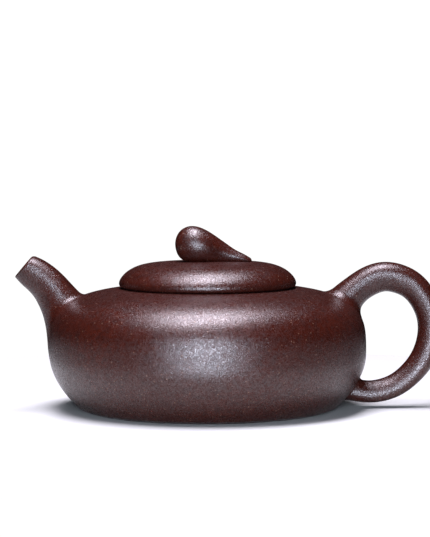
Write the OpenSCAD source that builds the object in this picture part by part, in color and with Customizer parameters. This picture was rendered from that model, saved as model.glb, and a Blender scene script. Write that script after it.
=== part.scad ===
// Yixing clay teapot: low, wide body with a drop-in lid, a lying pear-shaped knob,
// a short curved spout and a round loop handle. Millimetres, +Z up.
// Origin: on the pot's axis, in the plane the foot stands on. The spout points to -X, the handle to +X.

/* [Body] */
// Radius of the belly at its widest
belly_r = 57.7; // [54:0.1:60]
// Height of the widest point above the foot
belly_z = 20.2; // [19:0.1:21]
// Height of the rounded upper half above the widest point
crown_h = 24.75; // [24:0.05:25.5]
// Fullness of the upper half (2 is an ellipse, larger is squarer)
crown_n = 3.6; // [3.4:0.05:3.8]
// Depth the lower half would have if it ran on past the foot
keel_h = 36.2; // [35:0.1:38]
// Fullness of the lower half
keel_n = 1.84; // [1.8:0.01:1.9]
// Wall thickness of the pot
wall = 3; // [2.6:0.1:3.4]
// Radius where the shoulder slab is luted to the beaten wall
seam_r = 38; // [36:0.5:39]

/* [Foot and base] */
// Height of the low foot ring
foot_h = 1.6; // [1.2:0.1:2]
// Inner radius of the foot ring
foot_in_r = 40; // [38:0.5:41]
// Radius of the base slab
base_r = 44; // [43:0.1:45]
// Thickness of the base slab
base_t = 3; // [2.5:0.1:3.5]

/* [Mouth] */
// Inner radius of the mouth ring
mouth_r = 26.5; // [26:0.1:27]
// Outer radius of the mouth ring
mouth_out_r = 29.6; // [29.4:0.1:30]
// Height of the mouth ring's top, which carries the lid
mouth_z = 44.3; // [44.2:0.05:44.4]
// Depth of the mouth ring
mouth_d = 5; // [4.5:0.1:6]

/* [Lid] */
// Gap between the lid's underside and the mouth ring
seat_gap = 0.1; // [0.05:0.05:0.15]
// Running clearance between the lid's flange and the mouth ring
flange_gap = 0.3; // [0.25:0.05:0.5]
// Thickness of the flange
flange_t = 2.7; // [2.4:0.1:3]
// Depth of the flange below the lid's plate
flange_d = 6.5; // [5:0.5:8]
// Thickness of the lid's inner plate
plate_t = 2; // [1.6:0.1:2.2]
// Thickness of the lid's dome
dome_t = 2.6; // [2.3:0.1:2.8]
// Radius of the vent hole behind the knob
vent_r = 0.9; // [0.7:0.1:1.2]
// Distance of the vent hole behind the pot's axis
vent_y = 10; // [9.5:0.5:12]

/* [Spout] */
// Radius of the straight outlet bore
outlet_r = 3.2; // [2.8:0.1:3.3]
// Length of the straight outlet bore from the lip
outlet_len = 11; // [9:0.5:12]
// Radius of the hole through the wall behind the spout
wall_hole_r = 7.8; // [7.4:0.1:8]

/* [Strainer] */
// Thickness of the ball strainer
strainer_t = 1.4; // [1.2:0.1:1.6]
// Radius of each strainer hole
strainer_hole_r = 1; // [0.8:0.1:1.1]

/* [Hidden] */
$fn = 96;
clay = [0.30, 0.16, 0.13];

// ---- curve helpers ----
// A point of a smooth curve through p1 and p2, with p0 and p3 as their neighbours
function spline_pt(p0, p1, p2, p3, t) =
    0.5 * (2 * p1 + (p2 - p0) * t + (2 * p0 - 5 * p1 + 4 * p2 - p3) * t * t + (3 * p1 - p0 - 3 * p2 + p3) * t * t * t);
// The whole curve, n steps between each pair of control points
function spline(c, n) =
    let (m = len(c) - 1)
    [for (i = [0 : m - 1]) for (k = [0 : n - 1])
        spline_pt(i == 0 ? 2 * c[0] - c[1] : c[i - 1], c[i], c[i + 1],
                  i == m - 1 ? 2 * c[m] - c[m - 1] : c[i + 2], k / n), c[m]];
function reversed(v) = [for (i = [len(v) - 1 : -1 : 0]) v[i]];

// A tube along a path in the XZ plane. Each path entry is [x, z, half height, half width].
module swept(path, sides) {
    n = len(path);
    ring = [for (i = [0 : n - 1])
        let (a = path[max(i - 1, 0)], b = path[min(i + 1, n - 1)], d = [b[0] - a[0], b[1] - a[1]], u = d / norm(d), p = path[i])
        for (j = [0 : sides - 1])
            let (h = p[2] * cos(360 * j / sides), w = p[3] * sin(360 * j / sides))
            [p[0] - u[1] * h, w, p[1] + u[0] * h]];
    polyhedron(
        points = ring,
        faces = concat(
            [[for (j = [sides - 1 : -1 : 0]) j]],
            [for (i = [0 : n - 2]) for (j = [0 : sides - 1])
                let (k = (j + 1) % sides, q = i * sides)
                each [[q + j, q + k, q + sides + j], [q + k, q + sides + k, q + sides + j]]],
            [[for (j = [0 : sides - 1]) (n - 1) * sides + j]]));
}

// ---- body profile: two superellipse quarters, t = -90 at the bottom to 90 at the top ----
function body_pt(t, in = 0) =
    let (up = t >= 0, h = (up ? crown_h : keel_h) - in, e = 2 / (up ? crown_n : keel_n))
    [(belly_r - in) * pow(abs(cos(t)), e), belly_z + (up ? 1 : -1) * h * pow(abs(sin(t)), e)];
// Parameter at a height below the widest point, and at a radius above it
function t_at_z(z, in = 0) = -asin(pow((belly_z - z) / (keel_h - in), keel_n / 2));
function t_at_r(r, in = 0) = acos(pow(r / (belly_r - in), crown_n / 2));
function arc(t0, t1, n, in = 0) = [for (i = [0 : n]) body_pt(t0 + (t1 - t0) * i / n, in)];
// The profile between two parameters, with a point at the widest place
function side(t0, t1, in = 0) = concat(arc(t0, 0, 9, in), [for (p = arc(0, t1, 16, in)) if (p[1] > belly_z + 0.01) p]);

t_foot = t_at_z(foot_h);
t_seam = t_at_r(seam_r);
t_mouth = t_at_r(mouth_out_r);
t_base_in = t_at_z(foot_h + base_t, wall);
t_seam_in = t_at_r(seam_r, wall);
t_mouth_in = t_at_r(mouth_out_r, wall);

// Everything inside the pot's outer surface, used to trim what is luted on
module body_solid() {
    rotate_extrude() polygon(concat([[0, 0], [body_pt(t_at_z(0))[0], 0]], side(t_at_z(0) + 1, t_mouth), [[mouth_out_r, mouth_z], [0, mouth_z]]));
}

// ---- spout: [x, z, half height, half width] from inside the wall to past the lip ----
spout_out = spline([[-45.5, 28.5, 11.4, 11], [-49, 32, 10.8, 10.6], [-52.3, 36.7, 8.5, 9.2], [-55.4, 41.5, 7.15, 7.6],
                    [-58.3, 45.3, 6.55, 6.6], [-61.4, 48.2, 6.2, 5.9], [-64.5, 50.45, 5.75, 5.4], [-67.2, 52.5, 5.05, 5],
                    [-70.3, 54.9, 4.7, 4.7]], 3);
// Tapered passage: where it starts inside the wall, where it meets the outlet bore, and its radius at the start
passage_a = [-48.5, 31];
passage_b = [-58.4, 46.1];
passage_r = 8.2;
// Centre of the lip, the angle of its plane, and the angle of the outlet bore from the vertical
lip = [-66.6, 52.55];
lip_tilt = 49.5;
outlet_tilt = 52.6;

// ---- strainer: a half ball on the wall's inner face with a short collar in the wall's hole ----
root = [-51.3, 33.6];
root_tilt = 45;
ball_c = 0.4;
// Polar angle of each ring of holes, and how many holes it has
hole_rings = [[0, 1], [32, 6], [60, 12]];
module at_root() { translate([root[0], 0, root[1]]) rotate([0, -root_tilt, 0]) children(); }

// ---- handle: [x, z, half height, half width] from the upper root round to the lower root ----
handle_path = spline([[46, 32.3, 8.6, 8.2], [49.7, 38.4, 7, 6.8], [54, 43, 5.75, 5.7], [58.8, 46.3, 5.45, 5.3],
                      [64, 47.9, 5.4, 5.2], [69.4, 47.2, 5.35, 5.2], [74.5, 44.6, 5.2, 5.1], [78.8, 39.3, 5, 5],
                      [81.2, 32.5, 4.85, 4.9], [80.95, 25, 4.7, 4.8], [78, 17.5, 4.5, 4.7], [73.2, 11.75, 4.3, 4.6],
                      [68.2, 8.15, 4.2, 4.5], [63, 6.35, 4.1, 4.4], [58.5, 5.9, 4.05, 4.3], [54, 6.4, 4.1, 4.3],
                      [49, 7.2, 4.2, 4.3]], 3);

// ---- lid: outer profile [r, z] from the rounded lip to the middle ----
lid_low = mouth_z + seat_gap;
dome_out = spline([[30.9, lid_low + 0.05], [31.8, 44.7], [32.3, 45.7], [31.8, 47.4], [30.3, 49.3], [28, 51], [25, 52.3], [21, 53.1],
                   [16, 53.5], [10, 53.65], [0, 53.7]], 3);
dome_in = spline([[28.8, lid_low + plate_t], [28.5, 47.2], [27.2, 48.6], [24.6, 49.7], [20.6, 50.5], [15.6, 50.95], [8, 51.05],
                  [0, 53.7 - dome_t]], 3);

// ---- knob: a pear lying on its side, [x, z, half height, half width] ----
knob_path = spline([[-11.7, 60.1, 0.4, 0.4], [-11.35, 60.1, 2.2, 2.2], [-10.3, 60.1, 4.1, 3.9], [-8.3, 60.15, 5.6, 5.3],
                    [-5.3, 60.1, 6.55, 6.2], [-2.2, 59.6, 6.4, 6.25], [1, 58.6, 5.8, 5.3], [4.2, 57.5, 4.75, 3.9],
                    [7.4, 56.5, 3.5, 2.9], [10.6, 55.5, 2.45, 2.45], [13.4, 54.9, 1.75, 2.1], [15.3, 54.4, 1.2, 1.5],
                    [16.05, 54, 0.4, 0.6]], 3);

// Beaten wall: a strip luted into a ring and paddled round
module body_wall() color(clay)
    difference() {
        rotate_extrude() polygon(concat(
            [[base_r, foot_h]], side(t_foot, t_seam), reversed(side(t_base_in, t_seam_in, wall)), [[base_r, foot_h + base_t]]));
        at_root() translate([0, 0, -12]) cylinder(r = wall_hole_r, h = 30);
    }

// Round slab that closes the shoulder
module shoulder_slab() color(clay)
    rotate_extrude() polygon(concat(arc(t_mouth, t_seam, 6), arc(t_seam_in, t_mouth_in, 6, wall)));

// Round slab that closes the bottom
module base_slab() color(clay)
    translate([0, 0, foot_h]) cylinder(r = base_r, h = base_t);

// Low ring under the edge of the base
module foot_ring() color(clay)
    rotate_extrude() polygon([[foot_in_r, foot_h], [foot_in_r, 0.7], [foot_in_r + 0.3, 0.2], [foot_in_r + 0.9, 0], [43.6, 0], [44.8, 0.25],
                              [45.9, 0.7], [body_pt(t_foot)[0], foot_h]]);

// Collar in the shoulder's opening, which takes the lid's flange
module mouth_ring() color(clay)
    rotate_extrude() polygon([[mouth_r, mouth_z - mouth_d], [mouth_out_r - 0.6, mouth_z - mouth_d], [mouth_out_r, mouth_z - mouth_d + 0.6],
                              [mouth_out_r, mouth_z - 0.15], [mouth_out_r - 0.15, mouth_z], [mouth_r + 0.3, mouth_z], [mouth_r, mouth_z - 0.3]]);

module passage() {
    run = passage_b - passage_a;
    translate([passage_a[0], 0, passage_a[1]]) rotate([0, -atan2(-run[0], run[1]), 0])
        cylinder(r1 = passage_r, r2 = outlet_r + 0.05, h = norm(run));
    translate([passage_b[0], 0, passage_b[1]]) sphere(r = outlet_r + 0.15);
}

// Short curved spout, trimmed to the wall, with a straight outlet bore
module spout() color(clay)
    difference() {
        swept(spout_out, 32);
        body_solid();
        passage();
        translate([lip[0], 0, lip[1]]) rotate([0, -lip_tilt, 0]) translate([-12, -12, 0]) cube([24, 24, 14]);
        translate([lip[0], 0, lip[1]]) rotate([0, -outlet_tilt, 0]) translate([0, 0, -outlet_len]) cylinder(r = outlet_r, h = outlet_len + 6);
    }

// Half-ball strainer with a collar that fills the wall's hole
module ball_strainer() color(clay)
    intersection() {
        at_root() difference() {
            union() {
                intersection() {
                    translate([0, 0, ball_c]) sphere(r = wall_hole_r);
                    translate([-12, -12, ball_c - 12]) cube([24, 24, 12]);
                }
                translate([0, 0, ball_c]) cylinder(r = wall_hole_r, h = 9);
            }
            translate([0, 0, ball_c]) sphere(r = wall_hole_r - strainer_t);
            translate([0, 0, ball_c]) cylinder(r = wall_hole_r - strainer_t, h = 12);
            for (g = hole_rings) for (k = [0 : g[1] - 1])
                translate([0, 0, ball_c]) rotate([0, 0, 360 * k / g[1] + g[0] / 4]) rotate([0, 180 - g[0], 0])
                    translate([0, 0, wall_hole_r - 3]) cylinder(r = strainer_hole_r, h = 6);
        }
        body_solid();
    }

// Solid round handle, trimmed to the wall at both roots
module handle() color(clay)
    difference() {
        swept(handle_path, 24);
        body_solid();
    }

// Hollow lid shell with the vent hole
module lid_dome() color(clay)
    difference() {
        rotate_extrude() polygon(concat([[28.8, lid_low + 0.05]], dome_out, reversed(dome_in)));
        translate([0, vent_y, 45]) cylinder(r = vent_r, h = 12);
    }

// Flat ring that closes the lid's underside outside the flange
module lid_plate() color(clay)
    translate([0, 0, lid_low]) difference() {
        cylinder(r = 28.8, h = plate_t);
        translate([0, 0, -1]) cylinder(r = mouth_r - flange_gap - flange_t, h = plate_t + 2);
    }

// Ring that drops into the mouth
module lid_flange() color(clay)
    rotate_extrude() let (ro = mouth_r - flange_gap, ri = mouth_r - flange_gap - flange_t)
        polygon([[ri, lid_low], [ri, lid_low - flange_d + 0.5], [ri + 0.5, lid_low - flange_d], [ro - 1.1, lid_low - flange_d],
                 [ro - 0.4, lid_low - flange_d + 0.7], [ro, lid_low - 3], [ro, lid_low]]);

// Pear-shaped knob lying on the lid
module knob() color(clay)
    difference() {
        swept(knob_path, 28);
        rotate_extrude() polygon(concat([[0, 46], [30.9, 46]], [for (p = dome_out) if (p[1] > 46) p]));
    }

body_wall();
shoulder_slab();
base_slab();
foot_ring();
mouth_ring();
spout();
ball_strainer();
handle();
lid_dome();
lid_plate();
lid_flange();
knob();
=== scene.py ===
import math
import bpy
import bmesh
import numpy as np
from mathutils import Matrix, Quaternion, Vector


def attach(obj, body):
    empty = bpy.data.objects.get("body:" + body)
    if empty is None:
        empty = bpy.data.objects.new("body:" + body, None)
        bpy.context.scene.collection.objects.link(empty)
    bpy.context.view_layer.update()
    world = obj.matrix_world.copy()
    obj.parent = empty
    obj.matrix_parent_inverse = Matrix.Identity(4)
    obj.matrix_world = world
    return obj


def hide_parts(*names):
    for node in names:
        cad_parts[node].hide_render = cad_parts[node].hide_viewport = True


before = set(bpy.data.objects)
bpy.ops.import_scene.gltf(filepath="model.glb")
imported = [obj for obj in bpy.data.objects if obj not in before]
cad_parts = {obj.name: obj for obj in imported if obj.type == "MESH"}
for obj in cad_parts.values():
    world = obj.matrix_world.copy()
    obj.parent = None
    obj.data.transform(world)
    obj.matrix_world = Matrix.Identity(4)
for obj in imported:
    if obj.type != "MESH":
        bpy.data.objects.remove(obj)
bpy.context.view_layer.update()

MM = 0.001
scene = bpy.context.scene

# ------------------------------------------------------------------ curves


def smooth_curve(pts, n, ends=(None, None)):
    """Natural (or clamped) cubic spline through pts, by chord length; n points in all, and the parameter of each."""
    p = np.array(pts, float)
    d = np.linalg.norm(np.diff(p[:, :2], axis=0), axis=1)
    t = np.r_[0, np.cumsum(d)]
    m = len(p)
    a = np.zeros((m, m))
    b = np.zeros((m, p.shape[1]))
    h = np.diff(t)
    for i in range(1, m - 1):
        a[i, i - 1], a[i, i], a[i, i + 1] = h[i - 1], 2 * (h[i - 1] + h[i]), h[i]
        b[i] = 6 * ((p[i + 1] - p[i]) / h[i] - (p[i] - p[i - 1]) / h[i - 1])
    if ends[0] is None:
        a[0, 0] = 1
    else:
        a[0, 0], a[0, 1] = 2 * h[0], h[0]
        b[0] = 6 * ((p[1] - p[0]) / h[0] - np.array(ends[0], float))
    if ends[1] is None:
        a[-1, -1] = 1
    else:
        a[-1, -2], a[-1, -1] = h[-1], 2 * h[-1]
        b[-1] = 6 * (np.array(ends[1], float) - (p[-1] - p[-2]) / h[-1])
    mm = np.linalg.solve(a, b)
    s = np.linspace(0, t[-1], n) if np.isscalar(n) else np.asarray(n) * t[-1]
    k = np.clip(np.searchsorted(t, s, side="right") - 1, 0, m - 2)
    u, w = s - t[k], t[k + 1] - s
    hh = h[k][:, None]
    u, w = u[:, None], w[:, None]
    return (mm[k] * w**3 + mm[k + 1] * u**3) / (6 * hh) + (p[k] / hh - mm[k] * hh / 6) * w + (
        p[k + 1] / hh - mm[k + 1] * hh / 6) * u


def even(pts, step):
    """Points along a fine polyline at about equal steps."""
    d = np.r_[0, np.cumsum(np.linalg.norm(np.diff(pts, axis=0), axis=1))]
    n = max(2, int(round(d[-1] / step)) + 1)
    s = np.linspace(0, d[-1], n)
    return np.stack([np.interp(s, d, pts[:, i]) for i in range(pts.shape[1])], 1)


def rounded(pts, radii, n=5):
    """A closed polygon with some corners rounded: radii holds one radius for each point, 0 to leave it."""
    out = []
    m = len(pts)
    for i in range(m):
        p, a, b, r = map(np.asarray, (pts[i], pts[i - 1], pts[(i + 1) % m], radii[i]))
        if r == 0:
            out.append(tuple(p))
            continue
        u, v = (a - p) / np.linalg.norm(a - p), (b - p) / np.linalg.norm(b - p)
        half = math.acos(np.clip(u @ v, -1, 1)) / 2
        cut = min(r / math.tan(half), 0.49 * np.linalg.norm(a - p), 0.49 * np.linalg.norm(b - p))
        for k in range(n + 1):
            f = k / n
            q = (1 - f) ** 2 * (p + u * cut) + 2 * f * (1 - f) * p + f**2 * (p + v * cut)
            out.append(tuple(q))
    return out


# ------------------------------------------------------------------ meshes


def make(name, verts, faces, sharp=35.0):
    """A mesh object from millimetres, smooth but for edges sharper than the angle."""
    me = bpy.data.meshes.new(name)
    me.from_pydata((np.asarray(verts, float) * MM).tolist(), [], faces)
    me.validate()
    bm = bmesh.new()
    bm.from_mesh(me)
    bmesh.ops.remove_doubles(bm, verts=bm.verts, dist=1e-7)
    bmesh.ops.recalc_face_normals(bm, faces=bm.faces)
    bm.to_mesh(me)
    bm.free()
    me.shade_smooth()
    if sharp:
        me.set_sharp_from_angle(angle=math.radians(sharp))
    ob = bpy.data.objects.new(name, me)
    scene.collection.objects.link(ob)
    return ob


def revolve(name, prof, segs=240, closed=True, sharp=35.0):
    """Turns a profile of [r, z] round the pot's axis. A closed profile makes a ring or a disc."""
    prof = [(max(float(r), 0.0), float(z)) for r, z in prof]
    verts, rows = [], []
    ang = np.arange(segs) * 2 * np.pi / segs
    for r, z in prof:
        if r < 1e-6:
            rows.append([len(verts)])
            verts.append((0, 0, z))
        else:
            rows.append(list(range(len(verts), len(verts) + segs)))
            verts += [(r * math.cos(t), r * math.sin(t), z) for t in ang]
    faces = []
    m = len(prof)
    for i in range(m if closed else m - 1):
        a, b = rows[i], rows[(i + 1) % m]
        if len(a) == 1 and len(b) == 1:
            continue
        for j in range(segs):
            k = (j + 1) % segs
            if len(a) == 1:
                faces.append((a[0], b[k], b[j]))
            elif len(b) == 1:
                faces.append((a[j], a[k], b[0]))
            else:
                faces.append((a[j], a[k], b[k], b[j]))
    return make(name, verts, faces, sharp)


# ------------------------------------------------------------------ body surface

BELLY_R, BELLY_Z, CROWN_H, CROWN_N, KEEL_H, KEEL_N, WALL = 57.7, 20.2, 24.75, 3.6, 36.2, 1.84, 3.0
SEAM_R, FOOT_H, BASE_R, BASE_T = 38.0, 1.6, 44.0, 3.0
MOUTH_R, MOUTH_OUT_R, MOUTH_Z, MOUTH_D = 26.5, 29.6, 44.3, 5.0
LID_LOW = MOUTH_Z + 0.1


def super_r(z, inset=0.0):
    """Radius of the pot's profile at a height."""
    up = z >= BELLY_Z
    h, n = (CROWN_H - inset, CROWN_N) if up else (KEEL_H - inset, KEEL_N)
    return (BELLY_R - inset) * max(0.0, 1 - (abs(z - BELLY_Z) / h) ** n) ** (1 / n)


def super_z(r, inset=0.0):
    return BELLY_Z + (CROWN_H - inset) * (1 - (r / (BELLY_R - inset)) ** CROWN_N) ** (1 / CROWN_N)


def profile(inset, z0, r1):
    """A fine smooth polyline of the pot's profile from height z0 up to radius r1 on the shoulder."""
    zs = [z0 + (11 - z0) * f for f in (0, 0.3, 0.62, 1)] + [14, 17.5, 21, 24.5, 27.7, 30.5]
    ctrl = [(super_r(z, inset), z) for z in zs]
    r30 = super_r(30.5, inset)
    rs = [r30 + (r1 - r30) * f for f in (0.1, 0.22, 0.36, 0.52, 0.68, 0.84, 1)]
    ctrl += [(r, super_z(r, inset)) for r in rs]
    return smooth_curve(ctrl, 900)


OUT = profile(0.0, 0.2, 26.0)
OUT_T = np.gradient(OUT, axis=0)
OUT_T /= np.linalg.norm(OUT_T, axis=1)[:, None]
OUT_N = np.stack([OUT_T[:, 1], -OUT_T[:, 0]], 1)


def idx_at_r(pts, r):
    """The first place past the widest point where the profile's radius falls to r."""
    k = int(np.argmax(pts[:, 0]))
    return k + int(np.argmin(np.abs(pts[k:, 0] - r)))


def idx_at_z(pts, z):
    return int(np.argmin(np.abs(pts[:, 1] - z)))


def body_project(p):
    """Nearest points of the pot's outer surface, their outward normals and signed distances, for points [n, 3]."""
    p = np.atleast_2d(p)
    rho = np.hypot(p[:, 0], p[:, 1])
    q = np.stack([rho, p[:, 2]], 1)
    d = ((q[:, None, :] - OUT[None, :, :]) ** 2).sum(2)
    k = np.clip(d.argmin(1), 1, len(OUT) - 2)
    # refine within the neighbouring segments
    best = None
    for off in (-1, 0):
        a, b = OUT[k + off], OUT[k + off + 1]
        ab = b - a
        f = np.clip(((q - a) * ab).sum(1) / (ab**2).sum(1), 0, 1)
        c = a + ab * f[:, None]
        nn = OUT_N[k + off] * (1 - f)[:, None] + OUT_N[k + off + 1] * f[:, None]
        e = ((q - c) ** 2).sum(1)
        if best is None:
            best = [c, nn, e]
        else:
            w = e < best[2]
            best[0] = np.where(w[:, None], c, best[0])
            best[1] = np.where(w[:, None], nn, best[1])
            best[2] = np.where(w, e, best[2])
    c, nn, e = best
    nn = nn / np.linalg.norm(nn, axis=1)[:, None]
    ca, sa = p[:, 0] / np.maximum(rho, 1e-9), p[:, 1] / np.maximum(rho, 1e-9)
    pt = np.stack([c[:, 0] * ca, c[:, 0] * sa, c[:, 1]], 1)
    no = np.stack([nn[:, 0] * ca, nn[:, 0] * sa, nn[:, 1]], 1)
    sd = ((q - c) * nn).sum(1)
    return pt, no, sd


# ------------------------------------------------------------------ tubes luted on the pot


class Tube:
    """A smooth tube along control sections [x, z, half height, half width] in the XZ plane."""

    def __init__(self, ctrl, n=600, egg=None):
        c = smooth_curve(ctrl, n)
        self.c, self.n = c, n
        t = np.gradient(c[:, :2], axis=0)
        t /= np.linalg.norm(t, axis=1)[:, None]
        self.ang = np.unwrap(np.arctan2(t[:, 1], t[:, 0]))
        # how far the section's widest place lies off its middle
        f = np.linspace(0, 1, n)
        self.egg = np.zeros(n)
        if egg is not None:
            k = n // 14
            win = np.hanning(2 * k + 1)
            self.egg = np.convolve(np.pad(np.interp(f, *egg), k, mode="edge"), win / win.sum(), "valid")
        d = np.linalg.norm(np.diff(c[:, :2], axis=0), axis=1)
        self.len = np.r_[0, np.cumsum(d)]

    def at(self, s, th):
        """Points at arc length s (mm) and angle th, arrays of one shape."""
        s, th = np.broadcast_arrays(np.asarray(s, float), np.asarray(th, float))
        x, z, h, w = [np.interp(s, self.len, self.c[:, i]) for i in range(4)]
        a = np.interp(s, self.len, self.ang)
        ch, sw = np.cos(th) * h - np.sin(th) ** 2 * np.interp(s, self.len, self.egg), np.sin(th) * w
        return np.stack([x - np.sin(a) * ch, sw, z + np.cos(a) * ch], -1)

    def hit(self, th, s0, s1, rough=400):
        """For each angle, the arc length where the tube's skin leaves the pot's surface, looked for between s0 and s1."""
        s = np.linspace(s0, s1, rough)
        out = []
        for t in th:
            sd = body_project(self.at(s, np.full(rough, t)))[2]
            inside = np.where(sd < 0)[0]
            if len(inside) == 0:
                out.append(s0)
                continue
            i = inside[-1] if s1 > s0 else inside[-1]
            i = min(i, rough - 2)
            f = -sd[i] / (sd[i + 1] - sd[i])
            out.append(s[i] + (s[i + 1] - s[i]) * np.clip(f, 0, 1))
        return np.array(out)


def smooth_ring(v, passes=2):
    """Evens out a cyclic row of values."""
    for _ in range(passes):
        v = (np.roll(v, 1, 0) + 2 * v + np.roll(v, -1, 0)) / 4
    return v


def blend_rows(tube, th, s_hit, sign, reach_tube, reach_body, rows, sink=0.02):
    """Rows from the pot's surface up on to the tube: a fillet tangent to both. sign is +1 where the tube leaves the pot as s grows."""
    p = tube.at(s_hit, th)
    s_t = s_hit + sign * reach_tube
    t_pt = tube.at(s_t, th)
    t_dir = tube.at(s_t + sign * 0.2, th) - tube.at(s_t - sign * 0.2, th)
    t_dir /= np.linalg.norm(t_dir, axis=1)[:, None]
    base, no, _ = body_project(p)
    mid = base.mean(0)
    away = base - mid
    away -= (away * no).sum(1)[:, None] * no
    away /= np.linalg.norm(away, axis=1)[:, None]
    b_pt, b_no, _ = body_project(base + away * np.asarray(reach_body)[:, None])
    # the direction in which the surface is left, towards the tube, along the pot
    to = base - b_pt
    to -= (to * b_no).sum(1)[:, None] * b_no
    to /= np.maximum(np.linalg.norm(to, axis=1)[:, None], 1e-9)
    span = np.linalg.norm(t_pt - b_pt, axis=1)[:, None]
    c1 = b_pt + to * span * 0.42
    c2 = t_pt - t_dir * span * 0.42
    b_pt = b_pt - b_no * sink
    out = []
    for k in range(rows + 1):
        f = k / rows
        out.append((1 - f) ** 3 * b_pt + 3 * f * (1 - f) ** 2 * c1 + 3 * f * f * (1 - f) * c2 + f**3 * t_pt)
    return out, s_t, b_pt


def grid_faces(rows, base, wrap):
    """Quads between rows of `wrap` vertices each, starting at vertex base."""
    f = []
    for i in range(rows - 1):
        for j in range(wrap):
            k = (j + 1) % wrap
            a, b = base + i * wrap, base + (i + 1) * wrap
            f.append((a + j, a + k, b + k, b + j))
    return f


def boolean_cut(ob, cutter):
    """Cuts one mesh from another, exactly, and applies the result."""
    m = ob.modifiers.new("cut", "BOOLEAN")
    m.operation, m.solver, m.object = "DIFFERENCE", "EXACT", cutter
    dg = bpy.context.evaluated_depsgraph_get()
    me = bpy.data.meshes.new_from_object(ob.evaluated_get(dg))
    old = ob.data
    ob.modifiers.clear()
    ob.data = me
    bpy.data.meshes.remove(old)
    bpy.data.objects.remove(cutter)
    # no slivers along the cut
    bm = bmesh.new()
    bm.from_mesh(me)
    bmesh.ops.remove_doubles(bm, verts=bm.verts, dist=4e-6)
    bmesh.ops.dissolve_degenerate(bm, edges=bm.edges, dist=2e-6)
    bm.to_mesh(me)
    bm.free()
    return ob


def rod(a, b, r, n=48, name="cutter"):
    """A round rod from a to b, for cutting holes."""
    a, b = np.array(a, float), np.array(b, float)
    u = (b - a) / np.linalg.norm(b - a)
    p = np.cross(u, (0, 1, 0)) if abs(u[1]) < 0.9 else np.cross(u, (1, 0, 0))
    p /= np.linalg.norm(p)
    q = np.cross(u, p)
    t = np.arange(n) * 2 * np.pi / n
    ring = np.cos(t)[:, None] * p * r + np.sin(t)[:, None] * q * r
    verts = np.vstack([a + ring, b + ring])
    faces = [(j, (j + 1) % n, n + (j + 1) % n, n + j) for j in range(n)]
    faces += [tuple(range(n - 1, -1, -1)), tuple(range(n, 2 * n))]
    return verts, faces


def rods(items, n=48):
    verts, faces = [], []
    for a, b, r in items:
        v, f = rod(a, b, r, n)
        k = sum(len(x) for x in verts)
        verts.append(v)
        faces += [tuple(i + k for i in q) for q in f]
    return make("cutter", np.vstack(verts), faces, None)


# ------------------------------------------------------------------ the pot's turned pieces

i_foot = idx_at_z(OUT, FOOT_H)
i_seam = idx_at_r(OUT, SEAM_R)
i_mouth = idx_at_r(OUT, MOUTH_OUT_R)
wall_out = even(OUT[i_foot:i_seam + 1], 0.9)
INN = profile(WALL, 5.9, 27.5)
j_seam = idx_at_r(INN, SEAM_R)
j_mouth = idx_at_r(INN, MOUTH_OUT_R)
wall_in = even(INN[:j_seam + 1], 1.4)
p0 = wall_in[0]
fil = [((1 - f) ** 2 * p0[0] + 2 * f * (1 - f) * (p0[0] - 1.3) + f * f * BASE_R,
        (1 - f) ** 2 * p0[1] + 2 * f * (1 - f) * 4.62 + f * f * (FOOT_H + BASE_T)) for f in (0.2, 0.4, 0.6, 0.8, 1)]
body_wall = revolve("wall_shell", [(BASE_R, FOOT_H)] + wall_out.tolist() + wall_in[::-1].tolist() + fil, 320)

ROOT = np.array((-51.3, 0, 33.6))
R_DIR = np.array((-math.sin(math.radians(45)), 0, math.cos(math.radians(45))))
R_SIDE = np.array((math.cos(math.radians(45)), 0, math.sin(math.radians(45))))
HOLE_R, STR_T = 7.8, 1.4
body_wall = boolean_cut(body_wall, rods([(ROOT - R_DIR * 12, ROOT + R_DIR * 18, HOLE_R)], 96))

shoulder = revolve("shoulder_shell", even(OUT[i_seam:i_mouth + 1], 0.9).tolist() + even(INN[j_seam:j_mouth + 1], 1.2)[::-1].tolist(), 320)

dish = [(r, FOOT_H + 0.35 * (0.5 + 0.5 * math.cos(math.pi * min(1, r / 36)))) for r in np.linspace(0, 44, 30)]
base = revolve("base_disc", [(0, FOOT_H + BASE_T)] + [(r, FOOT_H + BASE_T) for r in (10, 20, 30, 38, 44)] + dish[::-1], 240)

k_lip = idx_at_z(OUT, 1.05)
foot_curve = smooth_curve([OUT[k_lip], (45.9, 0.62), (44.9, 0.2), (43.7, 0.0)], 14)
foot = revolve("foot", OUT[k_lip:i_foot + 1][::-6].tolist() + [tuple(OUT[k_lip])] + foot_curve[1:].tolist()
               + [(42.5, 0), (40.95, 0)] + [(40.55, 0.08), (40.25, 0.28), (40.06, 0.55), (40, 0.85), (40, FOOT_H)], 320)

ring_prof = rounded([(MOUTH_R, MOUTH_Z - MOUTH_D), (MOUTH_OUT_R, MOUTH_Z - MOUTH_D), (MOUTH_OUT_R, MOUTH_Z), (MOUTH_R, MOUTH_Z)],
                    [0.7, 0.9, 0.18, 0.45], 6)
mouth = revolve("mouth_collar", ring_prof, 320)

# ------------------------------------------------------------------ strainer


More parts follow.
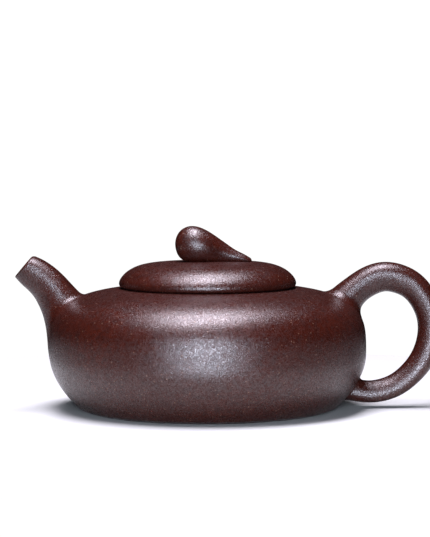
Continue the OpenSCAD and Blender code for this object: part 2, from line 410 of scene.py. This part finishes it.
def strainer_mesh():
    n = 72
    th = np.arange(n) * 2 * np.pi / n
    c = ROOT + R_DIR * 0.4
    side = np.cos(th)[:, None] * R_SIDE + np.sin(th)[:, None] * np.array((0, 1, 0))

    def row(r, along):
        return c + side * r + np.outer(np.broadcast_to(along, n), R_DIR)

    def to_skin(r):
        """Where each line of the collar meets the pot's surface."""
        lo, hi = np.zeros(n), np.full(n, 9.0)
        for _ in range(30):
            m = (lo + hi) / 2
            inside = body_project(row(r, m))[2] < -0.05
            lo, hi = np.where(inside, m, lo), np.where(inside, hi, m)
        return lo

    ro, ri = HOLE_R - 0.01, HOLE_R - STR_T
    ph = np.linspace(0, math.pi / 2, 19)[1:]
    rows = [row(ro * math.sin(a), -ro * math.cos(a)) for a in ph]
    rows += [row(ro, to_skin(ro) * f) for f in (0.5, 1)]
    rows += [row(ri, to_skin(ri) * f) for f in (1, 0.5)]
    rows += [row(ri * math.sin(a), -ri * math.cos(a)) for a in ph[::-1]]
    verts = np.vstack([c - R_DIR * ro] + rows + [c - R_DIR * ri])
    faces = grid_faces(len(rows), 1, n)
    faces += [(0, 1 + (j + 1) % n, 1 + j) for j in range(n)]
    last, b = len(verts) - 1, 1 + (len(rows) - 1) * n
    faces += [(last, b + j, b + (j + 1) % n) for j in range(n)]
    ob = make("leaf_strainer", verts, faces, 40)
    holes = []
    for ring, count in ((0, 1), (32, 6), (60, 12)):
        for k in range(count):
            az = math.radians(360 * k / count + ring / 4)
            s, co = math.sin(math.radians(ring)), math.cos(math.radians(ring))
            d = (math.cos(az) * R_SIDE + math.sin(az) * np.array((0, 1, 0))) * s - R_DIR * co
            holes.append((c + d * (HOLE_R - 3), c + d * (HOLE_R + 3), 1.0))
    return boolean_cut(ob, rods(holes, 24))


strainer = strainer_mesh()

# ------------------------------------------------------------------ spout

SPOUT = [(-45.5, 28.5, 11.4, 11), (-49, 32, 10.8, 10.6), (-52.3, 36.7, 8.5, 9.2), (-55.4, 41.5, 7.15, 7.6), (-58.3, 45.3, 6.55, 6.6),
         (-61.4, 48.2, 6.2, 5.9), (-64.5, 50.45, 5.75, 5.4), (-67.2, 52.5, 5.05, 5.0), (-70.3, 54.9, 4.7, 4.7)]
LIP = np.array((-66.6, 0, 52.55))
LIP_N = np.array((-math.sin(math.radians(49.5)), 0, math.cos(math.radians(49.5))))
BORE_D = np.array((-math.sin(math.radians(52.6)), 0, math.cos(math.radians(52.6))))


def spout_mesh():
    n = 128
    th = np.arange(n) * 2 * np.pi / n
    tube = Tube(SPOUT, 900, egg=((0, 0.25, 0.5, 0.8, 0.95), (0, 0.6, 1.6, 1.5, 0.7)))
    s_end = tube.len[-1]
    s_hit = smooth_ring(tube.hit(th, 2.0, s_end * 0.75), 3)
    # the upper side (up = 1) meets the shoulder in a small fillet, the lower side runs a long way on into the belly
    up = (1 - np.cos(th)) / 2
    low = 1 - up
    reach_t = 2.2 + 1.2 * low + 2.2 * low**3
    reach_b = 1.9 + 3.2 * low + 5.6 * low**3
    rows, s_t, root_ring = blend_rows(tube, th, s_hit, 1, reach_t, reach_b, 26)
    # along the tube, each line of the skin to the lip's plane
    s_fine = np.linspace(0, s_end, 1500)
    s_lip = []
    for t, s0, u in zip(th, s_t, up):
        d = (tube.at(s_fine, np.full(1500, t)) - LIP) @ LIP_N + 0.4 + 1.15 * u
        k = int(np.argmax(d > 0))
        s_lip.append(s_fine[k])
    s_lip = smooth_ring(np.array(s_lip), 3)
    m = 46
    for k in range(1, m + 1):
        rows.append(tube.at(s_t + (s_lip - s_t) * k / m, th))
    # rounded lip, then the bore
    edge = rows[-1]
    off = (edge - LIP) @ LIP_N
    flat = edge - off[:, None] * LIP_N - LIP
    grow = rows[-1] - rows[-2]
    grow /= np.linalg.norm(grow, axis=1)[:, None]
    rad = np.linalg.norm(flat, axis=1)[:, None]
    tip = LIP + flat * (1 - (0.55 + 0.6 * up)[:, None] / rad)
    c1 = edge + grow * (-off[:, None]) * 0.85
    for k in range(1, 9):
        f = k / 8
        rows.append((1 - f) ** 2 * edge + 2 * f * (1 - f) * c1 + f * f * tip)
    # the bore's round mouth in the lip's plane, with a small inner round
    side = np.cross(np.array((0, 1, 0)), BORE_D)
    ring = np.cos(th)[:, None] * side + np.sin(th)[:, None] * np.array((0, 1, 0))

    def bore(r, depth):
        p = LIP + ring * r
        return p - BORE_D * (depth + (((p - LIP) @ LIP_N) / (BORE_D @ LIP_N)))[:, None]

    if ((rows[-1][0] - LIP) @ side) < 0:
        ring = -np.cos(th)[:, None] * side + np.sin(th)[:, None] * np.array((0, 1, 0))
    for r, dpt in ((3.72, 0.0), (3.45, 0.1), (3.27, 0.32), (3.2, 0.65)):
        rows.append(bore(r, dpt))
    for dpt in (2, 4, 6, 8.05):
        rows.append(LIP + ring * 3.2 - BORE_D * dpt)
    inner = Tube([(-60.2, 47.55, 3.22, 3.22), (-58.2, 45.7, 3.5, 3.5), (-56.6, 43.5, 4.1, 4.1), (-54.9, 40.8, 5.0, 5.0), (-53.2, 38.1, 5.9, 5.9),
                  (-51.2, 35.2, 6.6, 6.6), (-49.5, 32.6, 7.2, 7.2)], 300)
    th_in = th if ((inner.at(0.0, 0.0) - inner.at(0.0, math.pi)) @ (rows[-1][0] - rows[-1][n // 2])) > 0 else math.pi - th
    s_out = inner.hit(th_in, inner.len[-1], 0.0)
    for k in range(0, 13):
        rows.append(inner.at(0.3 + (s_out - 0.3) * k / 12, th_in))
    verts = np.vstack(rows)
    faces = grid_faces(len(rows), 0, n)
    last = (len(rows) - 1) * n
    for j in range(n):
        k = (j + 1) % n
        faces.append((last + j, last + k, k, j))
    return make("spout_shell", verts, faces, 50)


spout = spout_mesh()

# ------------------------------------------------------------------ handle

HANDLE = [(46, 32.4, 8.3, 8.2), (49.6, 38.5, 6.6, 6.8), (53.9, 43.05, 5.55, 5.7), (58.8, 46.3, 5.45, 5.3), (64, 47.9, 5.4, 5.2),
          (69.4, 47.2, 5.35, 5.2), (74.5, 44.6, 5.2, 5.1), (78.8, 39.3, 5, 5), (81.2, 32.5, 4.85, 4.9), (80.95, 25, 4.7, 4.8),
          (78, 17.5, 4.5, 4.7), (73.2, 11.75, 4.3, 4.6), (68.2, 8.15, 4.2, 4.5), (63, 6.35, 4.1, 4.4), (58.5, 5.9, 4.05, 4.3),
          (54, 6.4, 4.1, 4.3), (49, 7.2, 4.2, 4.3)]


def handle_mesh():
    n = 96
    th = np.arange(n) * 2 * np.pi / n
    tube = Tube(HANDLE, 1500, egg=((0, 0.08, 0.22, 0.4, 0.55, 0.7, 0.92, 1), (0, -0.5, -1.1, -0.8, -0.5, -1.1, -1.2, -0.3)))
    L = tube.len[-1]
    up_hit = smooth_ring(tube.hit(th, 0.5, L * 0.2), 3)
    low_hit = smooth_ring(tube.hit(th, L - 0.5, L * 0.85), 2)
    top = (np.cos(th) + 1) / 2
    inner = (1 - top) ** 2
    rows, s_a, ring_a = blend_rows(tube, th, up_hit, 1, 0.9 + 1.9 * top + 3.4 * inner, 0.9 + 2.8 * top + 3.2 * inner, 20)
    low_rows, s_b, ring_b = blend_rows(tube, th, low_hit, -1, 0.55 + 1.5 * inner**2, 0.5 + 1.4 * inner**2, 8)
    m = 220
    for k in range(1, m):
        rows.append(tube.at(s_a + (s_b - s_a) * k / m, th))
    rows += low_rows[::-1]
    verts = np.vstack(rows)
    faces = grid_faces(len(rows), 0, n)
    for ring, first in ((ring_a, 0), (ring_b, (len(rows) - 1) * n)):
        c = len(verts)
        centre = body_project(ring.mean(0))[0][0]
        centre = centre - body_project(centre)[1][0] * 0.3
        verts = np.vstack([verts, centre])
        faces += [(c, first + j, first + (j + 1) % n) for j in range(n)]
    return make("handle_loop", verts, faces, 50)


handle = handle_mesh()

# ------------------------------------------------------------------ lid

DOME = [(30.9, LID_LOW + 0.05), (31.75, 44.72), (32.25, 45.55), (32.05, 46.9), (31.2, 48.3), (29.6, 49.9), (27.3, 51.35), (24.4, 52.45),
        (20.5, 53.15), (15.8, 53.5), (10, 53.65), (4, 53.7), (0, 53.7)]
dome_out = smooth_curve(DOME, 500, ends=((0.97, 0.25), (-1, 0)))
dome_in = smooth_curve([(28.8, LID_LOW + 2), (28.45, 47.2), (27.1, 48.7), (24.6, 49.75), (20.6, 50.5), (15.6, 50.95), (8, 51.08), (0, 51.1)],
                       200, ends=((0, 1), (-1, 0)))
dome_prof = [(28.8, LID_LOW + 0.05)] + [(29.9, LID_LOW + 0.03)] + even(dome_out, 0.7).tolist() + even(dome_in, 1.2)[::-1].tolist()
dome = revolve("lid_shell", dome_prof, 320)
dome = boolean_cut(dome, rods([((0, 10, 46), (0, 10, 58), 0.9)], 40))

FL_OUT, FL_IN = MOUTH_R - 0.3, MOUTH_R - 3.0
plate = revolve("lid_underside", [(FL_IN, LID_LOW), (28.8, LID_LOW), (28.8, LID_LOW + 2), (FL_IN + 0.7, LID_LOW + 2),
                                  (FL_IN + 0.25, LID_LOW + 1.85), (FL_IN, LID_LOW + 1.5)], 320)
flange = revolve("lid_ring", rounded([(FL_IN, LID_LOW), (FL_IN, LID_LOW - 6.5), (FL_OUT - 0.35, LID_LOW - 6.5), (FL_OUT, LID_LOW)],
                                     [0, 0.8, 1.1, 0], 7), 320)


# ------------------------------------------------------------------ knob: a pear on its side

KNOB_TOP = [(-11.75, 60.1), (-11.3, 62.6), (-10.05, 64.7), (-8, 66.15), (-5.3, 66.65), (-2.2, 65.95), (1.2, 64.2), (4.4, 62.0), (7.6, 59.7),
            (10.6, 57.7), (13.3, 56.35), (15.1, 55.3), (15.95, 54.6), (16.1, 54.1)]
KNOB_LOW = [(-11.75, 60.1), (-11.4, 57.7), (-10.5, 55.7), (-8.7, 54.1), (-6, 53.3), (-3, 53.1), (1, 53.1), (5, 53.15), (9, 53.2), (12.5, 53.2),
            (14.6, 53.2), (15.6, 53.35), (16, 53.65), (16.1, 54.1)]
KNOB_HALF = [(-11.75, 0), (-11.3, 2.3), (-10.05, 4.05), (-8, 5.3), (-5.6, 6.1), (-3.3, 6.3), (-1, 5.95), (1.5, 5.0), (4, 3.75), (6.2, 2.95), (8.5, 2.55),
             (11, 2.35), (13.3, 2.1), (15.1, 1.6), (15.95, 0.85), (16.1, 0)]


def knob_mesh():
    n, m = 96, 90
    th = np.arange(n) * 2 * np.pi / n
    top = smooth_curve(KNOB_TOP, 3000, ends=((0, 1), (0, -1)))
    low = smooth_curve(KNOB_LOW, 3000, ends=((0, -1), (0, 1)))
    half = smooth_curve(KNOB_HALF, 3000, ends=((0, 1), (0, -1)))
    f = (1 - np.cos(np.linspace(0, math.pi, m))) / 2
    xs = (-11.75 + 27.85 * f)[1:-1]
    t = np.interp(xs, np.maximum.accumulate(top[:, 0]), top[:, 1])
    b = np.interp(xs, np.maximum.accumulate(low[:, 0]), low[:, 1])
    w = np.interp(xs, np.maximum.accumulate(half[:, 0]), half[:, 1])
    rows = []
    for x, zt, zb, hw in zip(xs, t, b, w):
        c = (zt + zb) / 2
        # the stalk's upper half falls away like a roof
        f = min(1.0, max(0.0, (x - 2) / 7))
        k = 1 + 0.3 * f * f * (3 - 2 * f) * (np.cos(th) > 0)
        co, si = np.cos(th), np.sin(th)
        rows.append(np.stack([np.full(n, x), hw * np.sign(si) * np.abs(si) ** k, c + (zt - c) * np.sign(co) * np.abs(co) ** k], 1))
    verts = np.vstack([[(-11.75, 0, 60.1)]] + rows + [[(16.1, 0, 54.1)]])
    faces = grid_faces(len(rows), 1, n)
    faces += [(0, 1 + (j + 1) % n, 1 + j) for j in range(n)]
    last, s = len(verts) - 1, 1 + (len(rows) - 1) * n
    faces += [(last, s + j, s + (j + 1) % n) for j in range(n)]
    return make("knob_pear", verts, faces, None)


knob = knob_mesh()

# ------------------------------------------------------------------ clay


def clay(name, base, deep, warm, rough, bump, glint, grain):
    """Unglazed purple-brown stoneware: sand grain, mottling and a burnished skin."""
    mat = bpy.data.materials.new(name)
    mat.use_nodes = True
    nt = mat.node_tree
    nt.nodes.clear()
    N, L = nt.nodes.new, nt.links.new
    out = N("ShaderNodeOutputMaterial")
    bs = N("ShaderNodeBsdfPrincipled")
    L(bs.outputs["BSDF"], out.inputs["Surface"])
    co = N("ShaderNodeTexCoord")

    def noise(scale, detail=2.0, rough_=0.5, dist=0.0):
        n = N("ShaderNodeTexNoise")
        n.inputs["Scale"].default_value = scale
        n.inputs["Detail"].default_value = detail
        n.inputs["Roughness"].default_value = rough_
        n.inputs["Distortion"].default_value = dist
        L(co.outputs["Object"], n.inputs["Vector"])
        return n.outputs["Fac"]

    def ramp(src, stops):
        r = N("ShaderNodeValToRGB")
        e = r.color_ramp.elements
        while len(e) > 1:
            e.remove(e[-1])
        e[0].position, e[0].color = stops[0][0], (*stops[0][1], 1)
        for p, c in stops[1:]:
            x = e.new(p)
            x.color = (*c, 1)
        L(src, r.inputs["Fac"])
        return r.outputs["Color"]

    def mix(fac, a, b):
        m = N("ShaderNodeMix")
        m.data_type = "RGBA"
        if isinstance(fac, float):
            m.inputs[0].default_value = fac
        else:
            L(fac, m.inputs[0])
        for s, v in ((m.inputs[6], a), (m.inputs[7], b)):
            if isinstance(v, tuple):
                s.default_value = (*v, 1)
            else:
                L(v, s)
        return m.outputs[2]

    def maths(op, a, b):
        m = N("ShaderNodeMath")
        m.operation = op
        for s, v in ((m.inputs[0], a), (m.inputs[1], b)):
            if isinstance(v, (int, float)):
                s.default_value = v
            else:
                L(v, s)
        return m.outputs[0]

    # slow mottling from the firing, then the body's own grain
    slow = noise(38, 3, 0.55, 0.3)
    mid = noise(420, 3, 0.6)
    col = mix(ramp(slow, [(0.35, (0, 0, 0)), (0.68, (1, 1, 1))]), base, warm)
    col = mix(ramp(mid, [(0.40, (0, 0, 0)), (0.66, (1, 1, 1))]), col, deep)
    # sand: small pale and dark grains, each a cell of its own size
    vor = N("ShaderNodeTexVoronoi")
    vor.feature = "F1"
    vor.inputs["Scale"].default_value = 1150
    vor.inputs["Randomness"].default_value = 1.0
    L(co.outputs["Object"], vor.inputs["Vector"])
    pick = N("ShaderNodeSeparateColor")
    L(vor.outputs["Color"], pick.inputs["Color"])
    near = ramp(vor.outputs["Distance"], [(0.16, (1, 1, 1)), (0.34, (0, 0, 0))])
    pale = maths("MULTIPLY", near, maths("GREATER_THAN", pick.outputs[0], 0.93))
    dark = maths("MULTIPLY", near, maths("GREATER_THAN", pick.outputs[1], 0.88))
    col = mix(maths("MULTIPLY", dark, 0.65), col, tuple(c * 0.35 for c in base))
    col = mix(maths("MULTIPLY", pale, grain), col, (0.33, 0.19, 0.12))
    L(col, bs.inputs["Base Color"])
    # quartz sand: each grain catches the light its own way
    sand = N("ShaderNodeTexVoronoi")
    sand.feature = "F1"
    sand.inputs["Scale"].default_value = 2500
    sand.inputs["Randomness"].default_value = 1.0
    L(co.outputs["Object"], sand.inputs["Vector"])
    spark = N("ShaderNodeSeparateColor")
    L(sand.outputs["Color"], spark.inputs["Color"])
    L(maths("ADD", maths("MULTIPLY", spark.outputs[2], glint), 0.5 - glint / 2), bs.inputs["Specular IOR Level"])
    # roughness: burnished, with dull grains
    fine = noise(3000, 2, 0.7)
    rr = maths("ADD", maths("MULTIPLY", fine, 0.16), rough - 0.08)
    rr = maths("ADD", rr, maths("MULTIPLY", mid, 0.08))
    rr = maths("ADD", rr, maths("MULTIPLY", pale, 0.2))
    rr = maths("ADD", rr, maths("MULTIPLY", maths("SUBTRACT", spark.outputs[1], 0.5), 0.2))
    L(rr, bs.inputs["Roughness"])
    # relief: fine sand, pits, and the slow unevenness of paddling
    h = maths("ADD", maths("MULTIPLY", fine, 0.00005 * bump), maths("MULTIPLY", noise(2400, 1, 0.5), 0.00005 * bump))
    h = maths("ADD", h, maths("MULTIPLY", near, 0.000012 * bump))
    h = maths("ADD", h, maths("MULTIPLY", noise(60, 2, 0.5), 0.00012))
    bp = N("ShaderNodeBump")
    bp.inputs["Strength"].default_value = 1.0
    bp.inputs["Distance"].default_value = 1.0
    L(h, bp.inputs["Height"])
    L(bp.outputs["Normal"], bs.inputs["Normal"])
    bs.inputs["IOR"].default_value = 1.5
    return mat


burnished = clay("burnished_zisha", (0.0212, 0.0033, 0.0016), (0.0160, 0.0026, 0.0014), (0.0262, 0.0040, 0.0018), 0.275, 1.6, 0.45, 0.22)
raw = clay("raw_zisha", (0.085, 0.027, 0.019), (0.060, 0.019, 0.0135), (0.098, 0.031, 0.020), 0.6, 1.6, 0.4, 0.5)

PIECES = [
    (body_wall, "pot", ["body_wall"], burnished), (shoulder, "pot", ["shoulder_slab"], burnished), (base, "pot", ["base_slab"], raw),
    (foot, "pot", ["foot_ring"], burnished), (mouth, "pot", ["mouth_ring"], raw), (strainer, "pot", ["ball_strainer"], raw),
    (spout, "pot", ["spout"], burnished), (handle, "pot", ["handle"], burnished), (dome, "lid", ["lid_dome"], burnished),
    (plate, "lid", ["lid_plate"], raw), (flange, "lid", ["lid_flange"], raw), (knob, "lid", ["knob"], burnished)]
for ob, body, nodes, mat in PIECES:
    ob.data.materials.clear()
    ob.data.materials.append(mat)
    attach(ob, body)
    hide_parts(*nodes)

# ------------------------------------------------------------------ stage


def stage_disc(name, r):
    me = bpy.data.meshes.new(name)
    n = 96
    v = [(0, 0, 0)] + [(r * math.cos(2 * math.pi * k / n), r * math.sin(2 * math.pi * k / n), 0) for k in range(n)]
    me.from_pydata(v, [], [(0, 1 + k, 1 + (k + 1) % n) for k in range(n)])
    ob = bpy.data.objects.new(name, me)
    scene.collection.objects.link(ob)
    return ob


floor = stage_disc("floor", 0.2)
fm = bpy.data.materials.new("pale_floor")
fm.use_nodes = True
nt = fm.node_tree
fb = nt.nodes["Principled BSDF"]
fb.inputs["Base Color"].default_value = (0.44, 0.465, 0.45, 1)
fb.inputs["Roughness"].default_value = 0.6
fb.inputs["Specular IOR Level"].default_value = 0.3
floor.data.materials.append(fm)

world = bpy.data.worlds.new("studio")
scene.world = world
world.use_nodes = True
wn = world.node_tree
bg = wn.nodes["Background"]
bg.inputs["Color"].default_value = (1, 1, 1, 1)
bg.inputs["Strength"].default_value = 1.05
bg2 = wn.nodes.new("ShaderNodeBackground")
bg2.inputs["Color"].default_value = (0.95, 0.96, 1, 1)
bg2.inputs["Strength"].default_value = 0.004
lp = wn.nodes.new("ShaderNodeLightPath")
mx = wn.nodes.new("ShaderNodeMixShader")
wn.links.new(lp.outputs["Is Camera Ray"], mx.inputs[0])
wn.links.new(bg2.outputs[0], mx.inputs[1])
wn.links.new(bg.outputs[0], mx.inputs[2])
wn.links.new(mx.outputs[0], wn.nodes["World Output"].inputs["Surface"])


def area(name, loc, look, size, power, colour=(1, 1, 1)):
    """A soft box that the camera doesn't see."""
    li = bpy.data.lights.new(name, "AREA")
    li.shape = "RECTANGLE"
    li.size, li.size_y = size
    li.energy = power
    li.color = colour
    ob = bpy.data.objects.new(name, li)
    ob.location = loc
    ob.rotation_mode = "QUATERNION"
    ob.rotation_quaternion = (Vector(look) - Vector(loc)).to_track_quat("-Z", "Y")
    scene.collection.objects.link(ob)
    ob.visible_camera = False
    return ob


area("top_box", (-0.04, -0.10, 0.78), (0, 0, 0.03), (0.31, 0.68), 21.5, (0.95, 0.875, 1.0))
area("front_box", (-0.03, -0.82, 0.10), (0, 0, 0.03), (0.31, 0.28), 13.2, (0.79, 0.84, 1.0))

# ------------------------------------------------------------------ camera

CAM = Vector((0, -0.7962, 0.10307))
AIM = Vector((0, 0, 0.025))
cam_data = bpy.data.cameras.new("camera")
cam_data.lens = 146.9
cam_data.sensor_width = 36.0
cam_data.clip_start, cam_data.clip_end = 0.02, 20
cam = bpy.data.objects.new("camera", cam_data)
scene.collection.objects.link(cam)
q = (AIM - CAM).to_track_quat("-Z", "Y")
F_PX = 2191.0
pitch = math.atan((339.9 - 268.5) / F_PX)
yaw = -math.atan((215 - 207.516) / F_PX)
q = q @ Quaternion((1, 0, 0), pitch) @ Quaternion((0, 1, 0), yaw) @ Quaternion((0, 0, 1), math.radians(-0.2))
cam.location = CAM
cam.rotation_mode = "QUATERNION"
cam.rotation_quaternion = q
scene.camera = cam

scene.view_settings.view_transform = "Standard"
scene.view_settings.look = "None"
scene.view_settings.exposure = 0.0
scene.view_settings.gamma = 1.0
